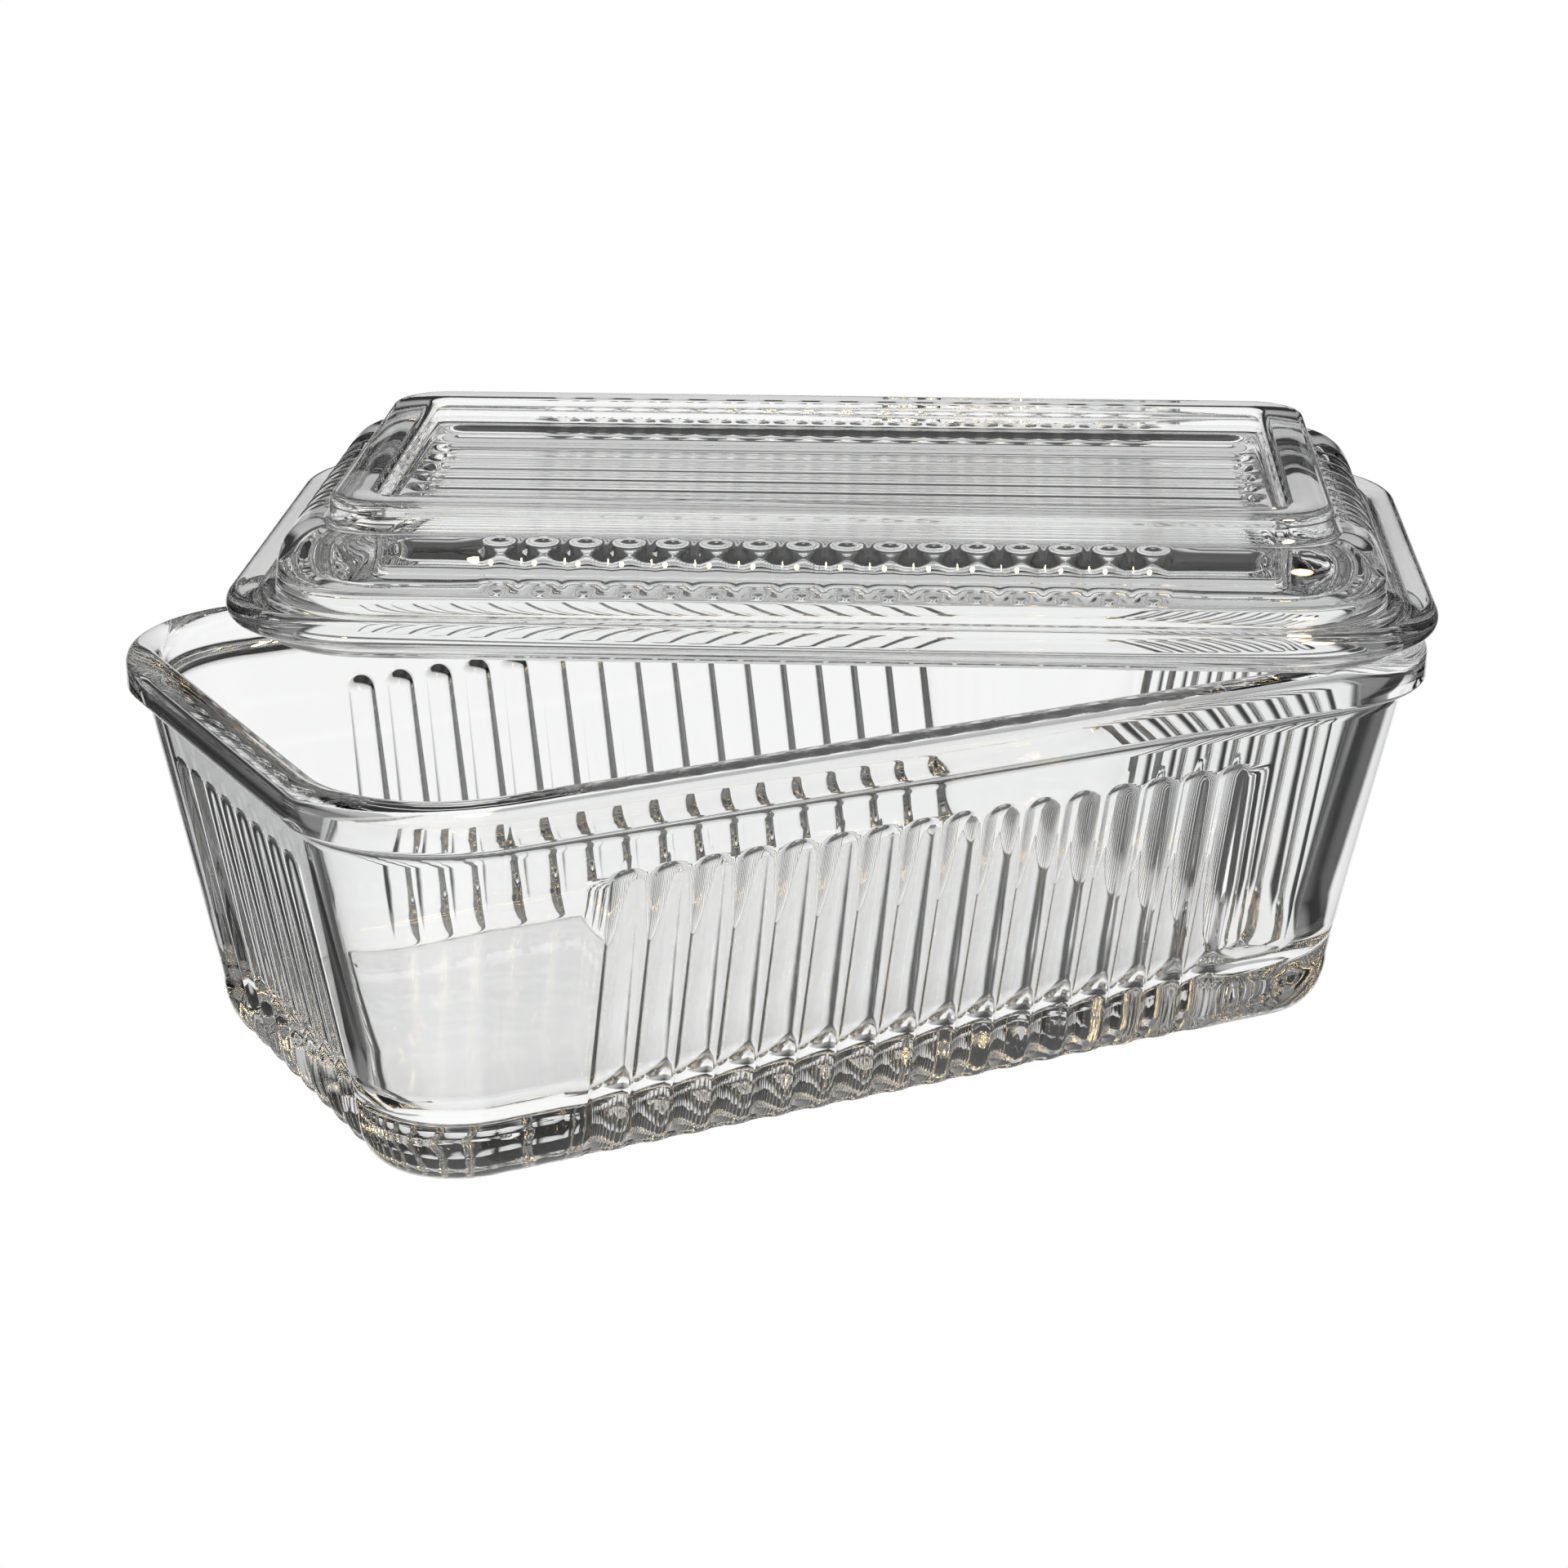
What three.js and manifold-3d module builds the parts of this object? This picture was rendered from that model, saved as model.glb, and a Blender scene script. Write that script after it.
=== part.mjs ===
// A butter dish of clear pressed glass: a deep fluted tub, and a loose lid that lies askew on
// the tub's rim. Millimetres, +Z up. The origin is the centre of the dish's underside and the
// dish is long in X.
import * as THREE from 'three';
import { mergeVertices } from 'three/addons/utils/BufferGeometryUtils.js';
import Module from 'manifold-3d';

// ---- Driving dimensions: both pieces share the outline of the rim ----
const LENGTH = 170;
const WIDTH = 103;
const CORNER_RADIUS = 21.5;
const FLUTES_PER_SIDE = 16; // along each long side of both pieces
const FLUTES_PER_END = 8;
const REST_GAP = 0.3; // left between the lid and the rim that it lies on

const DISH = {
  height: 56.5,
  floor: 7, // thickness of the bottom
  baseInset: 14.4, // how far the edge of the flat base lies inside the rim, at the ends
  heelHeight: 8,
  heelInset: 10.3,
  wallTop: 49.9, // where the wall meets the rolled rim
  wallTopInset: 2.4,
  sideLean: 1.15, // the long sides lean in this much more than the ends
  cornerShrink: 0.8, // corner radius lost for each millimetre of inset
  rimThickness: 5,
  rimRadius: 2.4, // both edges of the rim are rounded
  beadFoot: 1.2, // height of the rounding under the rolled rim
  innerSlope: 0.21, // inset gained for each millimetre down the inner wall
  floorFillet: 7,
  flutePitch: 6.12,
  fluteWidth: 5,
  fluteDepth: 1.1,
  fluteHead: 44, // height of the top of a flute
};

const LID = {
  skirtInset: 5.2, // the skirt drops inside the rim when the dish is closed
  skirtThickness: 3.8,
  skirtDepth: 2.4,
  skirtRound: 0.7,
  flangeThickness: 4,
  flangeWidth: 4.6, // from the flange's edge to the foot of the dome
  footFillet: 2.6,
  shoulderWidth: 6.2,
  shoulderHeight: 6.6,
  bandInset: 14.8,
  bandHeight: 3.8, // from the shoulder to the top of the raised band
  bandWidth: 6.9,
  bandRound: 1.3,
  panelDepth: 3.5,
  glass: 5.55, // thickness of the panel
  cornerShrink: 0.9,
  vaultRound: 8.75, // how far the rounding of the hollow reaches in from the skirt
  vaultFoot: 7.4,
  flutePitch: 5.98,
  fluteWidth: 5.2,
  fluteDepth: 1.2,
  ribs: 9,
  ribPitch: 6.1,
  ribDepth: 0.8,
};
const FLANGE_TOP = LID.skirtDepth + LID.flangeThickness;
const SHOULDER_FOOT = FLANGE_TOP + LID.footFillet;
const SHOULDER_TOP = SHOULDER_FOOT + LID.shoulderHeight;
const LID_HEIGHT = SHOULDER_TOP + LID.bandHeight;
const PANEL_Z = LID_HEIGHT - LID.panelDepth;

// Where the lid lies on the dish
const LID_REST = { x: 20.8, y: 21.8, yaw: THREE.MathUtils.degToRad(-30.5) };

// ---- Smoothness of the mesh ----
const CORNER_STEPS = 7;
const FLUTE_STEPS = 4;
const HEEL_STEPS = 3;
const ROUND_STEPS = 3;
const SHOULDER_STEPS = 5;
const RIB_SEGMENTS = 12;

// Points of an elliptic quarter or part turn, in the (inset, height) plane of a wall's section.
function arc(centreInset, centreZ, radiusInset, radiusZ, fromDegrees, toDegrees, steps) {
  const points = [];
  for (let i = 0; i <= steps; i += 1) {
    const angle = THREE.MathUtils.degToRad(fromDegrees + ((toDegrees - fromDegrees) * i) / steps);
    points.push({
      inset: centreInset - radiusInset * Math.cos(angle),
      z: centreZ + radiusZ * Math.sin(angle),
    });
  }
  return points;
}

// Share of its full depth that a scooped flute has at a place across it and beyond its straight
// part. Both run from 0 on its middle line to 1 at its edge.
function scoop(across, beyondEnd) {
  return Math.max(0, 1 - across ** 2 - beyondEnd ** 2);
}

// Places along one side of the outline where a fluted ring has points: across each flute, with a
// narrow plain land between one flute and the next.
function fluteStations(count, { pitch, width }) {
  const stations = [];
  for (let flute = 0; flute < count; flute += 1) {
    const middle = (flute - (count - 1) / 2) * pitch;
    for (let i = 0; i <= FLUTE_STEPS; i += 1) {
      const across = (2 * i) / FLUTE_STEPS - 1;
      stations.push({ along: middle + (across * width) / 2, across });
    }
  }
  return stations;
}

// Signs of x and y in the corner that starts each quarter, counter-clockwise
const QUARTER_SIGNS = [[1, 1], [-1, 1], [-1, -1], [1, -1]];

// One level of a piece as four chains of points, each a corner and the side that follows it.
// A ring with `flute` also has points on its sides, pressed in by the depth of the scoops.
function ringChains(ring) {
  const halfX = ring.length / 2;
  const halfY = ring.width / 2;
  const chains = [];
  for (let quarter = 0; quarter < 4; quarter += 1) {
    const turn = (quarter * Math.PI) / 2;
    const [signX, signY] = QUARTER_SIGNS[quarter];
    const isEnd = quarter % 2 === 1;
    const outward = isEnd ? new THREE.Vector2(signX, 0) : new THREE.Vector2(0, signY);
    const forward = new THREE.Vector2(-outward.y, outward.x);
    const centre = new THREE.Vector2(signX * (halfX - ring.corner), signY * (halfY - ring.corner));
    const chain = [];
    for (let i = 0; i <= CORNER_STEPS; i += 1) {
      const angle = turn + ((Math.PI / 2) * i) / CORNER_STEPS;
      const x = centre.x + ring.corner * Math.cos(angle);
      const y = centre.y + ring.corner * Math.sin(angle);
      chain.push(new THREE.Vector3(x, y, ring.z));
    }
    const sideStart = chain.length - 1;
    if (ring.flute) {
      const reach = isEnd ? halfX : halfY;
      const count = isEnd ? FLUTES_PER_END : FLUTES_PER_SIDE;
      for (const { along, across } of fluteStations(count, ring.flute)) {
        const depth = ring.flute.depth * scoop(across, ring.flute.beyondEnd);
        const out = reach - depth * ring.flute.normal.inset;
        const x = outward.x * out + forward.x * along;
        const y = outward.y * out + forward.y * along;
        chain.push(new THREE.Vector3(x, y, ring.z - depth * ring.flute.normal.z));
      }
    }
    chains.push({ points: chain, sideStart });
  }
  return chains;
}

// A closed solid skinned over a stack of rings, which runs from the middle of one face, around
// the section and back to the middle of the other face.
function loft(rings) {
  const positions = [];
  const triangles = [];
  const addPoint = (point) => positions.push(point.x, point.y, point.z) / 3 - 1;

  const levels = rings.map((ring) => {
    const chains = ringChains(ring);
    const indices = chains.map(({ points }) => points.map(addPoint));
    return indices.map((own, quarter) => {
      const { sideStart } = chains[quarter];
      const next = indices[(quarter + 1) % 4][0];
      return { corner: own.slice(0, sideStart + 1), side: [...own.slice(sideStart), next] };
    });
  });

  const stitch = (lower, upper) => {
    let i = 0;
    let j = 0;
    while (i < lower.length - 1 || j < upper.length - 1) {
      const lowerNext = (i + 0.5) / (lower.length - 1);
      const upperNext = (j + 0.5) / (upper.length - 1);
      if (i < lower.length - 1 && (j === upper.length - 1 || lowerNext <= upperNext)) {
        triangles.push(lower[i], lower[i + 1], upper[j]);
        i += 1;
      } else {
        triangles.push(upper[j + 1], upper[j], lower[i]);
        j += 1;
      }
    }
  };
  for (let k = 0; k + 1 < levels.length; k += 1) {
    for (let quarter = 0; quarter < 4; quarter += 1) {
      stitch(levels[k][quarter].corner, levels[k + 1][quarter].corner);
      stitch(levels[k][quarter].side, levels[k + 1][quarter].side);
    }
  }

  const cap = (level, z, facesDown) => {
    const middle = addPoint({ x: 0, y: 0, z });
    const loop = level.flatMap(({ corner, side }) => [...corner.slice(0, -1), ...side.slice(0, -1)]);
    loop.forEach((a, i) => {
      const b = loop[(i + 1) % loop.length];
      triangles.push(...(facesDown ? [middle, b, a] : [middle, a, b]));
    });
  };
  cap(levels[0], rings[0].z, true);
  cap(levels.at(-1), rings.at(-1).z, false);

  const geometry = new THREE.BufferGeometry();
  geometry.setAttribute('position', new THREE.Float32BufferAttribute(positions, 3));
  geometry.setIndex(triangles);
  return geometry;
}

// ---- Booleans ----
const wasm = await Module();
wasm.setup();

function toManifold(geometry) {
  const bare = geometry.clone();
  bare.deleteAttribute('normal');
  bare.deleteAttribute('uv');
  const welded = mergeVertices(bare, 1e-5);
  return new wasm.Manifold(new wasm.Mesh({
    numProp: 3,
    vertProperties: new Float32Array(welded.attributes.position.array),
    triVerts: new Uint32Array(welded.index.array),
  }));
}

function fromManifold(solid) {
  const { vertProperties, triVerts } = solid.getMesh();
  const geometry = new THREE.BufferGeometry();
  geometry.setAttribute('position', new THREE.Float32BufferAttribute(vertProperties, 3));
  geometry.setIndex([...triVerts]);
  return geometry;
}

// ---- The dish ----
function dishRing({ inset, z, flute }) {
  return {
    length: LENGTH - 2 * inset,
    width: WIDTH - 2 * DISH.sideLean * inset,
    corner: CORNER_RADIUS - DISH.cornerShrink * inset,
    z,
    flute,
  };
}

function dishGeometry() {
  const { height, wallTop, wallTopInset, heelHeight, heelInset, baseInset } = DISH;
  const wallInset = (z) => THREE.MathUtils.mapLinear(z, heelHeight, wallTop, heelInset, wallTopInset);
  const { flutePitch: pitch, fluteWidth: width, fluteDepth: depth, fluteHead } = DISH;
  const fluted = (point, beyondEnd) => ({
    ...point,
    flute: { pitch, width, depth, beyondEnd, normal: { inset: 1, z: 0 } },
  });

  // Outside, from the edge of the base up the rounded heel and the fluted wall
  const baseEdge = fluted({ inset: baseInset, z: 0 }, 1);
  const heel = arc(baseInset, heelHeight, baseInset - heelInset, heelHeight, -75, 0, HEEL_STEPS);
  const flutedHeel = heel.map((point, i) => fluted(point, Math.max(0, 1 - 2 * (i / HEEL_STEPS))));
  const arch = [0, 0.5, 0.85, 1].map((share) => {
    const z = fluteHead - ((1 - share) * width) / 2;
    return fluted({ inset: wallInset(z), z }, share);
  });

  // The rolled rim and the smooth inside, down to the floor
  const { rimRadius, rimThickness, beadFoot, floor, floorFillet } = DISH;
  const rimShoulder = height - rimRadius;
  const bead = arc(rimRadius, wallTop + beadFoot, rimRadius, beadFoot, -70, 0, ROUND_STEPS);
  const outerRound = arc(rimRadius, rimShoulder, rimRadius, rimRadius, 0, 90, ROUND_STEPS);
  const innerRound = arc(rimThickness - rimRadius, rimShoulder, rimRadius, rimRadius, 90, 180, ROUND_STEPS);
  const filletTop = floor + floorFillet;
  const innerFoot = rimThickness + DISH.innerSlope * (rimShoulder - filletTop);
  const fillet = arc(innerFoot + floorFillet, filletTop, floorFillet, floorFillet, 0, -90, ROUND_STEPS);

  const section = [
    baseEdge, ...flutedHeel, ...arch,
    { inset: wallTopInset, z: wallTop }, ...bead, ...outerRound,
    ...innerRound, ...fillet,
  ];
  return loft(section.map(dishRing));
}

// ---- The lid, with its origin at the middle of the skirt's underside ----
function lidRing({ inset, z, flute }) {
  return {
    length: LENGTH - 2 * inset,
    width: WIDTH - 2 * inset,
    corner: CORNER_RADIUS - LID.cornerShrink * inset,
    z,
    flute,
  };
}

// The convex shoulder of the dome, scooped by short flutes with round ends.
function shoulderSection() {
  const { flangeWidth, footFillet, shoulderWidth, shoulderHeight } = LID;
  const { flutePitch: pitch, fluteWidth: width, fluteDepth: depth } = LID;
  const footInset = flangeWidth + footFillet;
  const headInset = footInset + shoulderWidth;
  const points = arc(headInset, SHOULDER_FOOT, shoulderWidth, shoulderHeight, 0, 90, SHOULDER_STEPS);
  const straight = 0.35; // share of the shoulder where a flute has its full width
  return points.map((point, i) => {
    const share = i / SHOULDER_STEPS;
    const angle = (share * Math.PI) / 2;
    const beyondEnd = Math.max(0, Math.abs(2 * share - 1) - straight) / (1 - straight);
    const normal = { inset: Math.cos(angle), z: Math.sin(angle) };
    return { ...point, flute: { pitch, width, depth, beyondEnd, normal } };
  });
}

function lidBlank() {
  const { skirtInset, skirtThickness, skirtDepth, skirtRound, flangeThickness, flangeWidth } = LID;
  const { footFillet, bandInset, bandWidth, bandRound, glass, vaultRound, vaultFoot } = LID;
  const edge = flangeThickness / 2;
  const innerSkirt = skirtInset + skirtThickness;
  const ceiling = PANEL_Z - glass;

  // Inside, from the ceiling down to the skirt, then outwards and up again
  const vaultHeight = ceiling - vaultFoot;
  const vault = arc(innerSkirt + vaultRound, vaultFoot, vaultRound, vaultHeight, 90, 0, ROUND_STEPS);
  const skirtFoot = [
    { inset: innerSkirt, z: skirtRound },
    { inset: innerSkirt - skirtRound, z: 0 },
    { inset: skirtInset + skirtRound, z: 0 },
    { inset: skirtInset, z: skirtRound },
  ];
  const flange = [
    { inset: skirtInset, z: skirtDepth },
    ...arc(edge, skirtDepth + edge, edge, edge, -90, 90, 2 * ROUND_STEPS),
  ];
  const foot = arc(flangeWidth, SHOULDER_FOOT, -footFillet, footFillet, -90, 0, ROUND_STEPS).slice(0, -1);
  const bandTop = LID_HEIGHT - bandRound;
  const bandOuter = arc(bandInset + bandRound, bandTop, bandRound, bandRound, 0, 90, ROUND_STEPS);
  const bandInner = bandInset + bandWidth;
  const bandInside = arc(bandInner - bandRound, bandTop, bandRound, bandRound, 90, 180, ROUND_STEPS);
  const section = [
    ...vault, ...skirtFoot, ...flange, ...foot, ...shoulderSection(),
    { inset: bandInset, z: SHOULDER_TOP }, ...bandOuter, ...bandInside,
    { inset: bandInner, z: PANEL_Z },
  ];
  return loft(section.map(lidRing));
}

// Long shallow grooves with round ends, side by side along the sunk top panel.
function ribCutter(index) {
  const radius = 0.46 * LID.ribPitch;
  const panelLength = LENGTH - 2 * (LID.bandInset + LID.bandWidth);
  const cutter = new THREE.CapsuleGeometry(radius, panelLength - 4 * radius, 3, RIB_SEGMENTS);
  cutter.rotateZ(Math.PI / 2);
  cutter.scale(1, 1, LID.ribDepth / radius);
  cutter.translate(0, (index - (LID.ribs - 1) / 2) * LID.ribPitch, PANEL_Z);
  return cutter;
}

function lidGeometry() {
  let solid = toManifold(lidBlank());
  for (let index = 0; index < LID.ribs; index += 1) {
    solid = solid.subtract(toManifold(ribCutter(index)));
  }
  return fromManifold(solid);
}

// ---- The assembly ----
function glassMesh(name, geometry) {
  const material = new THREE.MeshStandardMaterial({ color: 0xeef2f1, roughness: 0.04, metalness: 0 });
  const mesh = new THREE.Mesh(geometry, material);
  mesh.name = name;
  return mesh;
}

const butterDish = new THREE.Group();
butterDish.add(glassMesh('dish', dishGeometry()));

const lid = glassMesh('lid', lidGeometry());
lid.position.set(LID_REST.x, LID_REST.y, DISH.height + REST_GAP);
lid.rotation.z = LID_REST.yaw;
butterDish.add(lid);

export default butterDish;
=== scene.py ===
import math

import bpy
import numpy as np
from mathutils import Matrix, Vector


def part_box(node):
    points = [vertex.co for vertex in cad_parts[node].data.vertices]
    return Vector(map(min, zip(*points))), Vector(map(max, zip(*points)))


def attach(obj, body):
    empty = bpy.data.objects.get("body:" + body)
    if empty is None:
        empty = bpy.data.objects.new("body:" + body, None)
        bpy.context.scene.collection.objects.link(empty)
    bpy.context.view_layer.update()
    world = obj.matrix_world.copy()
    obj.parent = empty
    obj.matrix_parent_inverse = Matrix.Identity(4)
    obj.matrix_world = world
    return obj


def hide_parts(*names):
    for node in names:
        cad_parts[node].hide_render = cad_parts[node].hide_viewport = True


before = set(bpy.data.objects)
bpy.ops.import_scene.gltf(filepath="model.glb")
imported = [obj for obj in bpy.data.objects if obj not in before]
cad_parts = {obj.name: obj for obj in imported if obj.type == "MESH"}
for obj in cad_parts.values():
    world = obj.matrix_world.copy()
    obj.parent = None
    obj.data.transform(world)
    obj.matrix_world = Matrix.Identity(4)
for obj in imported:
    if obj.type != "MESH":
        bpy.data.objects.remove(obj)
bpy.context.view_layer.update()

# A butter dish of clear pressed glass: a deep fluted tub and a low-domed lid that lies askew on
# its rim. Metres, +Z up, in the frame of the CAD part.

DISH_LOW, DISH_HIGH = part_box("dish")
LID_LOW, LID_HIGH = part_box("lid")
MM = 0.001

# ---- Shared outline of both pieces ----
LENGTH = DISH_HIGH.x - DISH_LOW.x
WIDTH = DISH_HIGH.y - DISH_LOW.y
CORNER_RADIUS = 21.5 * MM
SIDE_FLUTES = 16
END_FLUTES = 8

# ---- Fineness of the mesh ----
CORNER_STEPS = 22
PLAIN_STEPS = 4  # between a corner and the first flute
FLUTE_STEPS = 10
LAND_STEPS = 2
RIB_STEPS = 10
ARC_STEPS = 10
HEEL_STEPS = 16
WALL_STEPS = 12
ARCH_STEPS = 9  # over a flute's round top
FILLET_STEPS = 14
VAULT_STEPS = 14
SHOULDER_STEPS = 24
BORDER = 0.8 * MM  # between a rounding and the flat cap that closes a skin

LID_YAW = math.radians(-30.5)


# ---- Sections: rows of (inset from the rim's outline, height, flute) from one cap to the other ----
def arc(centre, radii, start, end, steps=ARC_STEPS):
    """Points (inset, z) along an elliptical arc of a wall's section; angles in degrees."""
    angles = np.radians(np.linspace(start, end, steps + 1))
    insets = centre[0] - radii[0] * np.cos(angles)
    heights = centre[1] + radii[1] * np.sin(angles)
    return list(zip(insets, heights))


def plain_rows(points, spread=0.0):
    return [{"inset": inset, "z": z, "flute": None, "spread": spread} for inset, z in points]


def fluted_row(point, beyond, lean=(1.0, 0.0), spread=0.0):
    """A row with flutes. Beyond runs from 0 to 1 over a flute's round end; lean is the way that
    the flutes are pressed in (inset, down); spread runs from 0 to 1 as they widen and deepen."""
    return {"inset": point[0], "z": point[1], "flute": (beyond, lean), "spread": spread}


def line(start, end, steps):
    """Points between two (inset, z) points, without the first of them."""
    shares = np.linspace(0, 1, steps + 1)[1:]
    return [tuple(np.array(start) + share * (np.array(end) - np.array(start))) for share in shares]


def mix(pair, share):
    return pair[0] + share * (pair[1] - pair[0])


def side_stations(count, flute, spread=0.0):
    """Places along one side, in the order of the outline: (place, plain, across).

    Place is a length from the side's middle. Plain runs from 0 at the last flute to 1 at the
    corner. Across runs from -1 to 1 over each flute and is 1 outside of the flutes."""
    stations = []
    width = mix(flute["width"], spread)
    field = ((count - 1) * flute["pitch"] + width) / 2
    for i in range(1, PLAIN_STEPS):
        stations.append((-field, 1 - i / PLAIN_STEPS, 1.0))
    for index in range(count):
        middle = (index - (count - 1) / 2) * flute["pitch"]
        for i in range(FLUTE_STEPS + 1):
            across = 2 * i / FLUTE_STEPS - 1
            stations.append((middle + across * width / 2, 0.0, across))
        if index < count - 1:
            land = flute["pitch"] - width
            for i in range(1, LAND_STEPS):
                stations.append((middle + width / 2 + land * i / LAND_STEPS, 0.0, 1.0))
    for i in range(1, PLAIN_STEPS):
        stations.append((field, i / PLAIN_STEPS, 1.0))
    return np.array(stations)


def ring_points(row, shape, flute):
    """One level of a piece: the points of its outline, counter-clockwise from the +X side."""
    inset = row["inset"]
    half = (LENGTH / 2 - inset, WIDTH / 2 - shape["side_lean"] * inset)
    radius = max(CORNER_RADIUS - shape["corner_shrink"] * inset, shape["least_corner"])
    stations = [side_stations(count, flute, row["spread"]) for count in (SIDE_FLUTES, END_FLUTES)]
    points = []
    for quarter, signs in enumerate(((1, 1), (-1, 1), (-1, -1), (1, -1))):
        is_end = quarter % 2 == 1
        turns = quarter * math.pi / 2 + np.linspace(0, math.pi / 2, CORNER_STEPS + 1)
        corner = np.empty((CORNER_STEPS + 1, 3))
        corner[:, 0] = signs[0] * (half[0] - radius) + radius * np.cos(turns)
        corner[:, 1] = signs[1] * (half[1] - radius) + radius * np.sin(turns)
        corner[:, 2] = row["z"]
        points.append(corner)

        reach, straight = (half[0], half[1] - radius) if is_end else (half[1], half[0] - radius)
        outward = (signs[0], 0) if is_end else (0, signs[1])
        forward = (-outward[1], outward[0])
        place, plain, across = stations[is_end].T
        along = place + np.sign(place) * plain * (straight - np.abs(place))
        depth = np.zeros(len(place))
        lean = (1.0, 0.0)
        if row["flute"]:
            beyond, lean = row["flute"]
            depth = mix(flute["depth"], row["spread"]) * np.maximum(0, 1 - across ** 2 - beyond ** 2)
        out = reach - depth * lean[0]
        side = np.empty((len(place), 3))
        side[:, 0] = outward[0] * out + forward[0] * along
        side[:, 1] = outward[1] * out + forward[1] * along
        side[:, 2] = row["z"] - depth * lean[1]
        points.append(side)
    return np.concatenate(points)


def loft(rows, shape, flute):
    """(vertices, faces, size of a ring) of a skin over all rows, open at both ends."""
    rings = [ring_points(row, shape, flute) for row in rows]
    size = len(rings[0])
    faces = []
    for level in range(len(rings) - 1):
        low = level * size
        high = low + size
        for i in range(size):
            j = (i + 1) % size
            faces.append((low + i, low + j, high + j, high + i))
    return np.concatenate(rings), faces, size


def make_piece(name, vertices, faces, material, yaw, place):
    mesh = bpy.data.meshes.new(name)
    mesh.from_pydata([tuple(v) for v in vertices], [], faces)
    mesh.polygons.foreach_set("use_smooth", [True] * len(mesh.polygons))
    mesh.transform(Matrix.Translation(place) @ Matrix.Rotation(yaw, 4, "Z"))
    mesh.update()
    mesh.validate()
    mesh.materials.append(material)
    piece = bpy.data.objects.new(name, mesh)
    bpy.context.scene.collection.objects.link(piece)
    return piece


# ---- The dish ----
DISH = {
    "side_lean": 1.15,  # the long sides lean in this much more than the ends
    "corner_shrink": 0.8,
    "least_corner": 4 * MM,
    "height": DISH_HIGH.z,
    "floor": 7 * MM,
    "base_inset": 14.4 * MM,
    "base_edge": 0.15 * MM,
    "heel_height": 8 * MM,
    "heel_inset": 10.3 * MM,
    "wall_top": 49.9 * MM,
    "wall_top_inset": 2.4 * MM,
    "rim_thickness": 5 * MM,
    "rim_radius": 2.4 * MM,
    "bead_foot": 1.2 * MM,
    "inner_slope": 0.21,
    "floor_fillet": 7 * MM,
}
DISH_FLUTE = {
    "pitch": 6.12 * MM,
    "width": (4.7 * MM, 6.0 * MM),  # at the head and at the heel
    "depth": (1.0 * MM, 1.7 * MM),
    "head": 44 * MM,
    "fade": 1 / 3,  # share of the heel over which the flutes grow from the base
}


def dish_section():
    d = DISH
    heel_width = d["base_inset"] - d["heel_inset"]
    base = [(d["base_inset"] + BORDER, 0), (d["base_inset"] + d["base_edge"], 0)]
    rows = plain_rows(base, spread=1.0)
    heel = arc((d["base_inset"], d["heel_height"]), (heel_width, d["heel_height"]), -88, 0, HEEL_STEPS)
    for i, point in enumerate(heel):
        share = i / (len(heel) - 1)
        rows.append(fluted_row(point, max(0.0, 1 - share / DISH_FLUTE["fade"]), spread=1.0))

    def wall_inset(z):
        share = (z - d["heel_height"]) / (d["wall_top"] - d["heel_height"])
        return mix((d["heel_inset"], d["wall_top_inset"]), share)

    def wall_spread(z):
        return 1 - (z - d["heel_height"]) / (DISH_FLUTE["head"] - d["heel_height"])

    arch = DISH_FLUTE["width"][0] / 2
    straight_top = DISH_FLUTE["head"] - arch
    for z in np.linspace(d["heel_height"], straight_top, WALL_STEPS)[1:]:
        rows.append(fluted_row((wall_inset(z), z), 0.0, spread=wall_spread(z)))
    for angle in np.radians(np.linspace(0, 90, ARCH_STEPS + 1)[1:]):
        z = straight_top + arch * math.sin(angle)
        rows.append(fluted_row((wall_inset(z), z), math.sin(angle), spread=wall_spread(z)))
    top = line((wall_inset(DISH_FLUTE["head"]), DISH_FLUTE["head"]), (d["wall_top_inset"], d["wall_top"]), 3)

    rim_shoulder = d["height"] - d["rim_radius"]
    radius = (d["rim_radius"], d["rim_radius"])
    bead = arc((radius[0], d["wall_top"] + d["bead_foot"]), (radius[0], d["bead_foot"]), -70, 0, 6)
    outer = arc((radius[0], rim_shoulder), radius, 0, 90)
    inner = arc((d["rim_thickness"] - radius[0], rim_shoulder), radius, 90, 180)
    fillet_top = d["floor"] + d["floor_fillet"]
    inner_foot = d["rim_thickness"] + d["inner_slope"] * (rim_shoulder - fillet_top)
    inside = line(inner[-1], (inner_foot, fillet_top), 8)
    fillet_radius = (d["floor_fillet"], d["floor_fillet"])
    fillet = arc((inner_foot + fillet_radius[0], fillet_top), fillet_radius, 0, -90, FILLET_STEPS)
    floor = [(fillet[-1][0] + BORDER, d["floor"])]
    rows += plain_rows(top + bead + outer + inner + inside + fillet[1:] + floor)
    return rows


def dish_mesh():
    vertices, faces, size = loft(dish_section(), DISH, DISH_FLUTE)
    count = len(vertices)
    faces.append(tuple(reversed(range(size))))
    faces.append(tuple(range(count - size, count)))
    return vertices, faces


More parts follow.
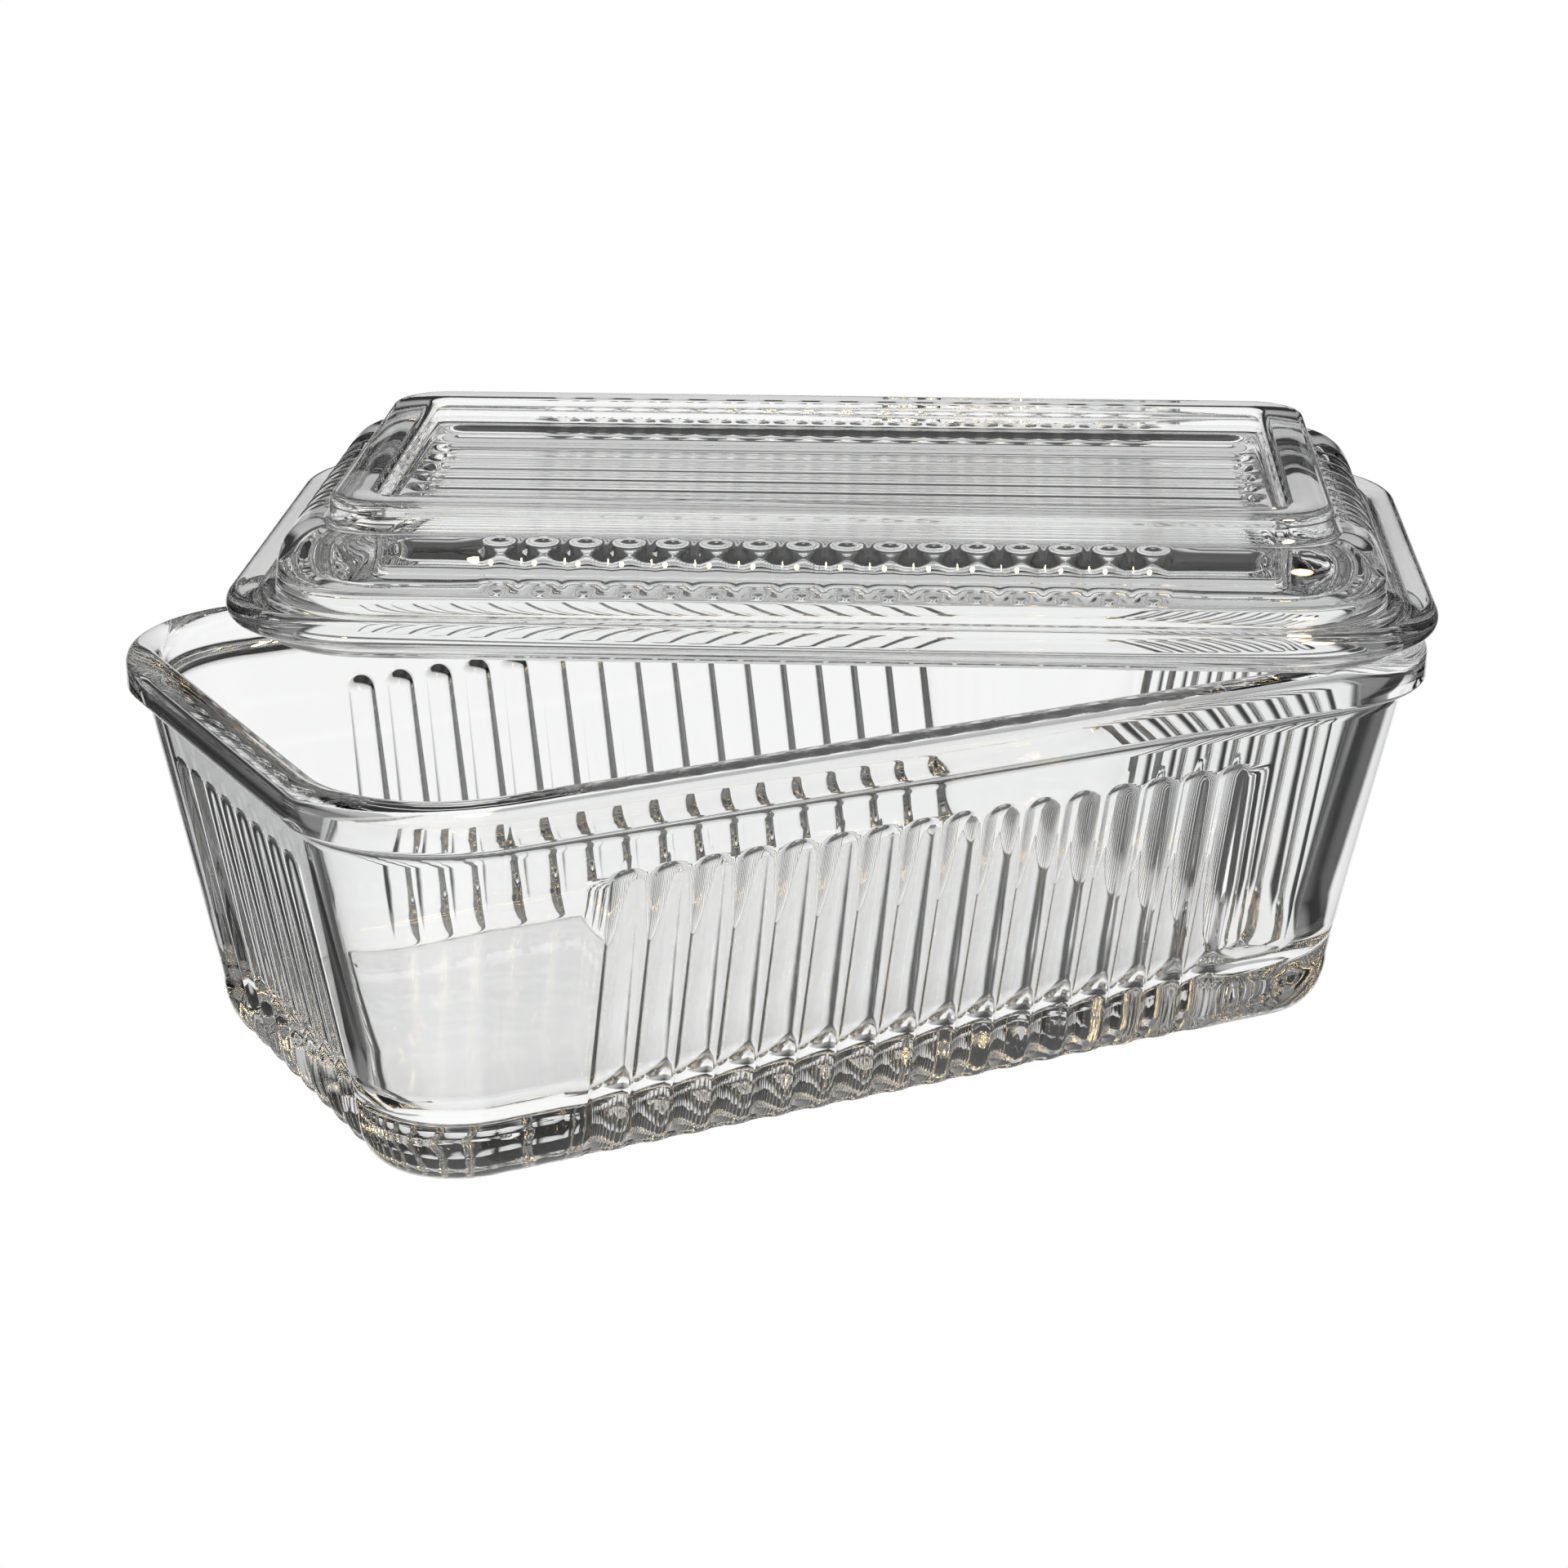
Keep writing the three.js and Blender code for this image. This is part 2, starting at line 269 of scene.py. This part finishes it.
# ---- The lid, with its origin at the middle of the skirt's underside ----
LID = {
    "side_lean": 1.0,
    "corner_shrink": 0.9,
    "least_corner": 1.2 * MM,
    "height": LID_HIGH.z - LID_LOW.z,
    "skirt_inset": 5.2 * MM,
    "skirt_thickness": 3.8 * MM,
    "skirt_depth": 2.4 * MM,
    "skirt_round": 0.7 * MM,
    "skirt_corner": 0.3 * MM,  # where the skirt meets the flange
    "flange_thickness": 4 * MM,
    "flange_width": 4.6 * MM,
    "foot_fillet": 2.6 * MM,
    "shoulder_width": 6.2 * MM,
    "shoulder_height": 6.6 * MM,
    "band_inset": 14.8 * MM,
    "band_width": 6.9 * MM,
    "band_round": 1.3 * MM,
    "band_foot": 0.8 * MM,
    "panel_depth": 3.5 * MM,
    "ceiling": 10.35 * MM,
    "vault_round": 8.75 * MM,
    "vault_foot": 7.4 * MM,
}
LID_FLUTE = {
    "pitch": 5.98 * MM,
    "width": (5.2 * MM, 5.2 * MM),
    "depth": (0.9 * MM, 0.9 * MM),
    "straight": 0.55,  # share of the shoulder where a flute has its full width
}
RIB_PITCH = 6.1 * MM
RIBS = {
    "count": 9,
    "pitch": RIB_PITCH,
    "width": 0.92 * RIB_PITCH,
    "depth": 1.0 * MM,
    "end_gap": 0.6 * MM,  # between the grooves' ends and the edge of the grid
    "grid_margin": 0.4 * MM,
}


def lid_section():
    d = LID
    panel_z = d["height"] - d["panel_depth"]
    inner_skirt = d["skirt_inset"] + d["skirt_thickness"]
    vault_centre = (inner_skirt + d["vault_round"], d["vault_foot"])
    vault = arc(vault_centre, (d["vault_round"], d["ceiling"] - d["vault_foot"]), 90, 0, VAULT_STEPS)
    ceiling_edge = [(vault[0][0] + BORDER, d["ceiling"])]
    soft = (d["skirt_round"], d["skirt_round"])
    skirt = arc((inner_skirt - soft[0], soft[1]), (-soft[0], soft[1]), 0, -90, 5)
    skirt += arc((d["skirt_inset"] + soft[0], soft[1]), soft, -90, 0, 5)
    skirt.append((d["skirt_inset"], d["skirt_depth"] - d["skirt_corner"]))

    edge = d["flange_thickness"] / 2
    flange_top = d["skirt_depth"] + d["flange_thickness"]
    flange = [(d["skirt_inset"] - d["skirt_corner"], d["skirt_depth"])]
    flange += arc((edge, d["skirt_depth"] + edge), (edge, edge), -90, 90, 2 * ARC_STEPS)
    shoulder_foot = flange_top + d["foot_fillet"]
    foot = arc((d["flange_width"], shoulder_foot), (-d["foot_fillet"], d["foot_fillet"]), -90, 0)[:-1]
    rows = plain_rows(ceiling_edge + vault + skirt + flange + foot)

    head_inset = d["flange_width"] + d["foot_fillet"] + d["shoulder_width"]
    radii = (d["shoulder_width"], d["shoulder_height"])
    shoulder = arc((head_inset, shoulder_foot), radii, 0, 90, SHOULDER_STEPS)
    straight = LID_FLUTE["straight"]
    for i, point in enumerate(shoulder):
        share = i / (len(shoulder) - 1)
        angle = share * math.pi / 2
        beyond = max(0.0, abs(2 * share - 1) - straight) / (1 - straight)
        rows.append(fluted_row(point, beyond, (math.cos(angle), math.sin(angle))))

    band_round = (d["band_round"], d["band_round"])
    band_top = d["height"] - d["band_round"]
    band_inner = d["band_inset"] + d["band_width"]
    shoulder_top = shoulder_foot + d["shoulder_height"]
    band = line((head_inset, shoulder_top), (d["band_inset"], shoulder_top), 1)
    band += arc((d["band_inset"] + d["band_round"], band_top), band_round, 0, 90)
    band += arc((band_inner - d["band_round"], band_top), band_round, 90, 180)
    foot_round = (d["band_foot"], d["band_foot"])
    band += arc((band_inner + d["band_foot"], panel_z + d["band_foot"]), foot_round, 0, -90, 4)
    rows += plain_rows(band)
    return rows


def rib_depths(x, y, reach):
    """Depth of the panel's surface below its border: shallow grooves with round ends."""
    half = RIBS["width"] / 2
    index = np.round(y / RIBS["pitch"] + (RIBS["count"] - 1) / 2)
    index = np.clip(index, 0, RIBS["count"] - 1)
    off_line = y - (index - (RIBS["count"] - 1) / 2) * RIBS["pitch"]
    past_end = np.maximum(0, np.abs(x) - (reach - half))
    share = (off_line ** 2 + past_end ** 2) / half ** 2
    return RIBS["depth"] * np.maximum(0, 1 - share)


def panel_rows_y(reach, count):
    """Places of the grid's lines across the ribs: lines on every groove's edges and in between."""
    places = []
    for index in range(RIBS["count"]):
        middle = (index - (RIBS["count"] - 1) / 2) * RIBS["pitch"]
        turns = np.linspace(-90, 90, RIB_STEPS + 1)
        places += list(middle + RIBS["width"] / 2 * np.sin(np.radians(turns)))
    border = (count - len(places)) // 2
    ends = np.linspace(reach, places[-1], border + 1)[:-1]
    return np.concatenate([-ends, places, ends[::-1]])


def lid_mesh():
    rows = lid_section()
    vertices, faces, size = loft(rows, LID, LID_FLUTE)
    faces.append(tuple(reversed(range(size))))

    # A grid over the panel. Its border joins the last ring, whose corner points all meet at the
    # grid's four corners.
    inset = rows[-1]["inset"]
    level = rows[-1]["z"]
    long_steps = len(side_stations(SIDE_FLUTES, LID_FLUTE)) + 1
    end_steps = len(side_stations(END_FLUTES, LID_FLUTE)) + 1
    margin = RIBS["grid_margin"]
    reach = (LENGTH / 2 - inset - margin, WIDTH / 2 - inset - margin)
    start = len(vertices)
    columns = np.linspace(-reach[0], reach[0], long_steps + 1)
    lines = panel_rows_y(reach[1], end_steps + 1)
    x, y = np.meshgrid(columns, lines)
    z = level - rib_depths(x, y, reach[0] - RIBS["end_gap"])
    grid = np.stack([x.ravel(), y.ravel(), z.ravel()], axis=1)

    def at(column, row):
        return start + row * (long_steps + 1) + column

    for row in range(end_steps):
        for column in range(long_steps):
            faces.append((at(column, row), at(column + 1, row), at(column + 1, row + 1), at(column, row + 1)))

    border = [at(long_steps, end_steps)] * (CORNER_STEPS + 1)
    border += [at(column, end_steps) for column in range(long_steps - 1, 0, -1)]
    border += [at(0, end_steps)] * (CORNER_STEPS + 1)
    border += [at(0, row) for row in range(end_steps - 1, 0, -1)]
    border += [at(0, 0)] * (CORNER_STEPS + 1)
    border += [at(column, 0) for column in range(1, long_steps)]
    border += [at(long_steps, 0)] * (CORNER_STEPS + 1)
    border += [at(long_steps, row) for row in range(1, end_steps)]
    last = start - size
    for i in range(size):
        j = (i + 1) % size
        face = [last + i, last + j, border[j], border[i]]
        faces.append(tuple(dict.fromkeys(face)))
    return np.concatenate([vertices, grid]), faces


# ---- Shader helpers ----
def add_math(tree, operation, *values):
    """The output of a math node. Each value is a number or the output of another node."""
    node = tree.nodes.new("ShaderNodeMath")
    node.operation = operation
    for socket, value in zip(node.inputs, values):
        if isinstance(value, (int, float)):
            socket.default_value = value
        else:
            tree.links.new(value, socket)
    return node.outputs["Value"]


def add_ramp(tree, value, start, end):
    """Rises smoothly from 0 at start to 1 at end; start may be the larger of the two."""
    node = tree.nodes.new("ShaderNodeMapRange")
    node.interpolation_type = "SMOOTHSTEP"
    node.inputs["From Min"].default_value = min(start, end)
    node.inputs["From Max"].default_value = max(start, end)
    if start > end:
        node.inputs["To Min"].default_value = 1.0
        node.inputs["To Max"].default_value = 0.0
    tree.links.new(value, node.inputs["Value"])
    return node.outputs["Result"]


# ---- Glass: waves in its surface, as (noise scale, height) ----
SWELL = (45.0, 0.035 * MM)
RIPPLE = (200.0, 0.0008 * MM)
BASE_SWELL = (110.0, 0.12 * MM)
BASE_SWELL_FULL = 0.6  # share of the base's height below which its swell has its full height
GLASS_COLOR = (0.985, 0.99, 0.988, 1)
GLASS_IOR = 1.52


def add_ripple(tree, place, scale, height, share=None, normal=None):
    """Noise in the surface's normal, of a height in metres and, if a share is given, that share of it."""
    noise = tree.nodes.new("ShaderNodeTexNoise")
    noise.inputs["Scale"].default_value = scale
    noise.inputs["Detail"].default_value = 2.0
    tree.links.new(place, noise.inputs["Vector"])
    bump = tree.nodes.new("ShaderNodeBump")
    bump.inputs["Strength"].default_value = 1.0
    bump.inputs["Distance"].default_value = height
    wave = noise.outputs["Fac"]
    if share:
        wave = add_math(tree, "MULTIPLY", wave, share)
    tree.links.new(wave, bump.inputs["Height"])
    if normal:
        tree.links.new(normal, bump.inputs["Normal"])
    return bump.outputs["Normal"]


def glass_material(name, seed, base_top=None):
    """Clear pressed glass, fire-polished: a slow swell and a fine ripple in the surface, and a
    stronger swell in the thick glass below base_top."""
    material = bpy.data.materials.new(name)
    material.use_nodes = True
    tree = material.node_tree
    tree.nodes.clear()
    output = tree.nodes.new("ShaderNodeOutputMaterial")
    shader = tree.nodes.new("ShaderNodeBsdfPrincipled")
    shader.inputs["Base Color"].default_value = GLASS_COLOR
    shader.inputs["Roughness"].default_value = 0.0
    shader.inputs["IOR"].default_value = GLASS_IOR
    shader.inputs["Transmission Weight"].default_value = 1.0
    tree.links.new(shader.outputs["BSDF"], output.inputs["Surface"])

    coordinates = tree.nodes.new("ShaderNodeTexCoord")
    shift = tree.nodes.new("ShaderNodeVectorMath")
    shift.operation = "ADD"
    shift.inputs[1].default_value = (seed, seed, seed)
    tree.links.new(coordinates.outputs["Object"], shift.inputs[0])
    place = shift.outputs["Vector"]
    normal = add_ripple(tree, place, *SWELL)
    normal = add_ripple(tree, place, *RIPPLE, normal=normal)
    if base_top:
        split = tree.nodes.new("ShaderNodeSeparateXYZ")
        tree.links.new(coordinates.outputs["Object"], split.inputs["Vector"])
        share = add_ramp(tree, split.outputs["Z"], base_top, BASE_SWELL_FULL * base_top)
        normal = add_ripple(tree, place, *BASE_SWELL, share, normal)
    tree.links.new(normal, shader.inputs["Normal"])
    return material


# ---- The object ----
dish_vertices, dish_faces = dish_mesh()
dish_glass = make_piece(
    "dish_glass_body",
    dish_vertices,
    dish_faces,
    glass_material("dish_glass", 0.0, base_top=DISH["heel_height"]),
    0.0,
    Vector((0, 0, 0)),
)
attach(dish_glass, "dish")
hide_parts("dish")

lid_vertices, lid_faces = lid_mesh()
lid_middle = (LID_LOW + LID_HIGH) / 2
lid_place = Vector((lid_middle.x, lid_middle.y, LID_LOW.z))
lid_glass = make_piece(
    "lid_glass_body", lid_vertices, lid_faces, glass_material("lid_glass", 3.7), LID_YAW, lid_place
)
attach(lid_glass, "lid")
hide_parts("lid")


# ---- Studio ----
CAMERA_AZIMUTH = math.radians(-27.28)
CAMERA_ELEVATION = math.radians(18.56)
CAMERA_DISTANCE = 0.5313
CAMERA_AIM = Vector((0, -1.4 * MM, 0.61 * DISH_HIGH.z))
CAMERA_LENS = 85.5
WHITE = 1.0
FLOOR_SIZE = 3.0
FLOOR_GAP = 0.2 * MM
# Places in the studio are parts of a unit direction from the object: off the middle, away from
# the camera and up. A pair is where a part of the light starts and where it has its full strength.
STUDIO = {
    "sweep_side": (0.50, 0.38),
    "behind": (-0.1, 0.1),
    "below": (-0.2, -0.4),
    "under_start": (-0.06, -0.11),
    "under_rise": (-0.05, -0.28),
    "under_least": 0.55,
    "over_start": (0.38, 0.5),
    "over": 0.6,
    "table_start": (-0.5, -0.8),
    "table": 0.5,
    "room_side": (0.72, 0.85),
    "room": 0.22,
    "dark": 0.03,
}
LAMP = {
    "azimuth": 35,  # degrees from the camera's
    "elevation": 60,
    "core": 6,  # degrees from its middle to where it starts to fade, and to where it ends
    "edge": 10,
    "strength": 90.0,
    "color": (1, 0.72, 0.32, 1),
}


def direction(azimuth, elevation):
    """Unit vector from the object towards a place in the studio. Azimuth 0 is the front, -Y."""
    return Vector((
        math.sin(azimuth) * math.cos(elevation),
        -math.cos(azimuth) * math.cos(elevation),
        math.sin(elevation),
    ))


def look_at(thing, place, aim):
    thing.location = place
    thing.rotation_euler = (aim - place).to_track_quat("-Z", "Y").to_euler()


def make_camera():
    data = bpy.data.cameras.new("camera")
    data.lens = CAMERA_LENS
    data.sensor_width = 36
    camera = bpy.data.objects.new("camera", data)
    bpy.context.scene.collection.objects.link(camera)
    look_at(camera, CAMERA_AIM + CAMERA_DISTANCE * direction(CAMERA_AZIMUTH, CAMERA_ELEVATION), CAMERA_AIM)
    bpy.context.scene.camera = camera


def make_floor():
    """A plain pale floor that the camera sees and the glass doesn't."""
    material = bpy.data.materials.new("floor")
    material.use_nodes = True
    nodes = material.node_tree.nodes
    nodes.clear()
    output = nodes.new("ShaderNodeOutputMaterial")
    glow = nodes.new("ShaderNodeEmission")
    glow.inputs["Strength"].default_value = WHITE
    material.node_tree.links.new(glow.outputs["Emission"], output.inputs["Surface"])
    half = FLOOR_SIZE / 2
    mesh = bpy.data.meshes.new("floor")
    corners = [(-half, -half, 0), (half, -half, 0), (half, half, 0), (-half, half, 0)]
    mesh.from_pydata(corners, [], [(0, 1, 2, 3)])
    mesh.materials.append(material)
    card = bpy.data.objects.new("floor", mesh)
    card.location.z = -FLOOR_GAP
    card.visible_transmission = False
    card.visible_glossy = False
    bpy.context.scene.collection.objects.link(card)


def studio_brightness(tree):
    """Light that the glass gathers from each direction: a white sweep that runs from under the
    dish up behind it, no wider than the view, with dark studio to its left, right and front."""
    coordinates = tree.nodes.new("ShaderNodeTexCoord")
    turn = tree.nodes.new("ShaderNodeVectorRotate")
    turn.rotation_type = "Z_AXIS"
    turn.inputs["Angle"].default_value = -CAMERA_AZIMUTH
    tree.links.new(coordinates.outputs["Generated"], turn.inputs["Vector"])
    split = tree.nodes.new("ShaderNodeSeparateXYZ")
    tree.links.new(turn.outputs["Vector"], split.inputs["Vector"])
    right, away, up = split.outputs

    off_middle = add_math(tree, "ABSOLUTE", right)
    width = add_ramp(tree, off_middle, *STUDIO["sweep_side"])
    behind = add_ramp(tree, away, *STUDIO["behind"])
    below = add_ramp(tree, up, *STUDIO["below"])
    sweep = add_math(tree, "MULTIPLY", width, add_math(tree, "MAXIMUM", behind, below))
    least = STUDIO["under_least"]
    under_card = add_math(tree, "MULTIPLY_ADD", add_ramp(tree, up, *STUDIO["under_rise"]), 1 - least, least)
    under_card = add_math(tree, "MULTIPLY", under_card, add_ramp(tree, up, *STUDIO["under_start"]))
    over_card = add_math(tree, "MULTIPLY", add_ramp(tree, up, *STUDIO["over_start"]), STUDIO["over"])
    height = add_math(tree, "ADD", under_card, over_card)
    table = add_math(tree, "MULTIPLY", add_ramp(tree, up, *STUDIO["table_start"]), STUDIO["table"])
    room = add_math(tree, "MULTIPLY", add_ramp(tree, off_middle, *STUDIO["room_side"]), STUDIO["room"])
    lit = add_math(tree, "MAXIMUM", add_math(tree, "MULTIPLY", sweep, height), table)
    lit = add_math(tree, "MAXIMUM", lit, room)
    return add_math(tree, "MAXIMUM", lit, STUDIO["dark"])


def lamp_brightness(tree):
    """A bare lamp, seen by the glass in one direction."""
    coordinates = tree.nodes.new("ShaderNodeTexCoord")
    aim = tree.nodes.new("ShaderNodeVectorMath")
    aim.operation = "DOT_PRODUCT"
    azimuth = CAMERA_AZIMUTH + math.radians(LAMP["azimuth"])
    aim.inputs[1].default_value = direction(azimuth, math.radians(LAMP["elevation"]))
    tree.links.new(coordinates.outputs["Generated"], aim.inputs[0])
    edge, core = math.cos(math.radians(LAMP["edge"])), math.cos(math.radians(LAMP["core"]))
    glow = add_ramp(tree, aim.outputs["Value"], edge, core)
    return add_math(tree, "MULTIPLY", glow, LAMP["strength"])


def make_studio():
    world = bpy.data.worlds.new("studio")
    bpy.context.scene.world = world
    world.use_nodes = True
    tree = world.node_tree
    tree.nodes.clear()
    output = tree.nodes.new("ShaderNodeOutputWorld")
    around = tree.nodes.new("ShaderNodeBackground")
    tree.links.new(studio_brightness(tree), around.inputs["Strength"])
    around.inputs["Color"].default_value = (1, 1, 1, 1)
    lamp = tree.nodes.new("ShaderNodeBackground")
    tree.links.new(lamp_brightness(tree), lamp.inputs["Strength"])
    lamp.inputs["Color"].default_value = LAMP["color"]
    both = tree.nodes.new("ShaderNodeAddShader")
    tree.links.new(around.outputs["Background"], both.inputs[0])
    tree.links.new(lamp.outputs["Background"], both.inputs[1])
    white = tree.nodes.new("ShaderNodeBackground")
    white.inputs["Strength"].default_value = WHITE
    white.inputs["Color"].default_value = (1, 1, 1, 1)
    choice = tree.nodes.new("ShaderNodeMixShader")
    path = tree.nodes.new("ShaderNodeLightPath")
    tree.links.new(path.outputs["Is Camera Ray"], choice.inputs["Fac"])
    tree.links.new(both.outputs["Shader"], choice.inputs[1])
    tree.links.new(white.outputs["Background"], choice.inputs[2])
    tree.links.new(choice.outputs["Shader"], output.inputs["Surface"])


make_camera()
make_studio()
make_floor()
bpy.context.scene.view_settings.view_transform = "Standard"
cycles = bpy.context.scene.cycles
cycles.max_bounces = 32
cycles.transmission_bounces = 32
cycles.glossy_bounces = 12
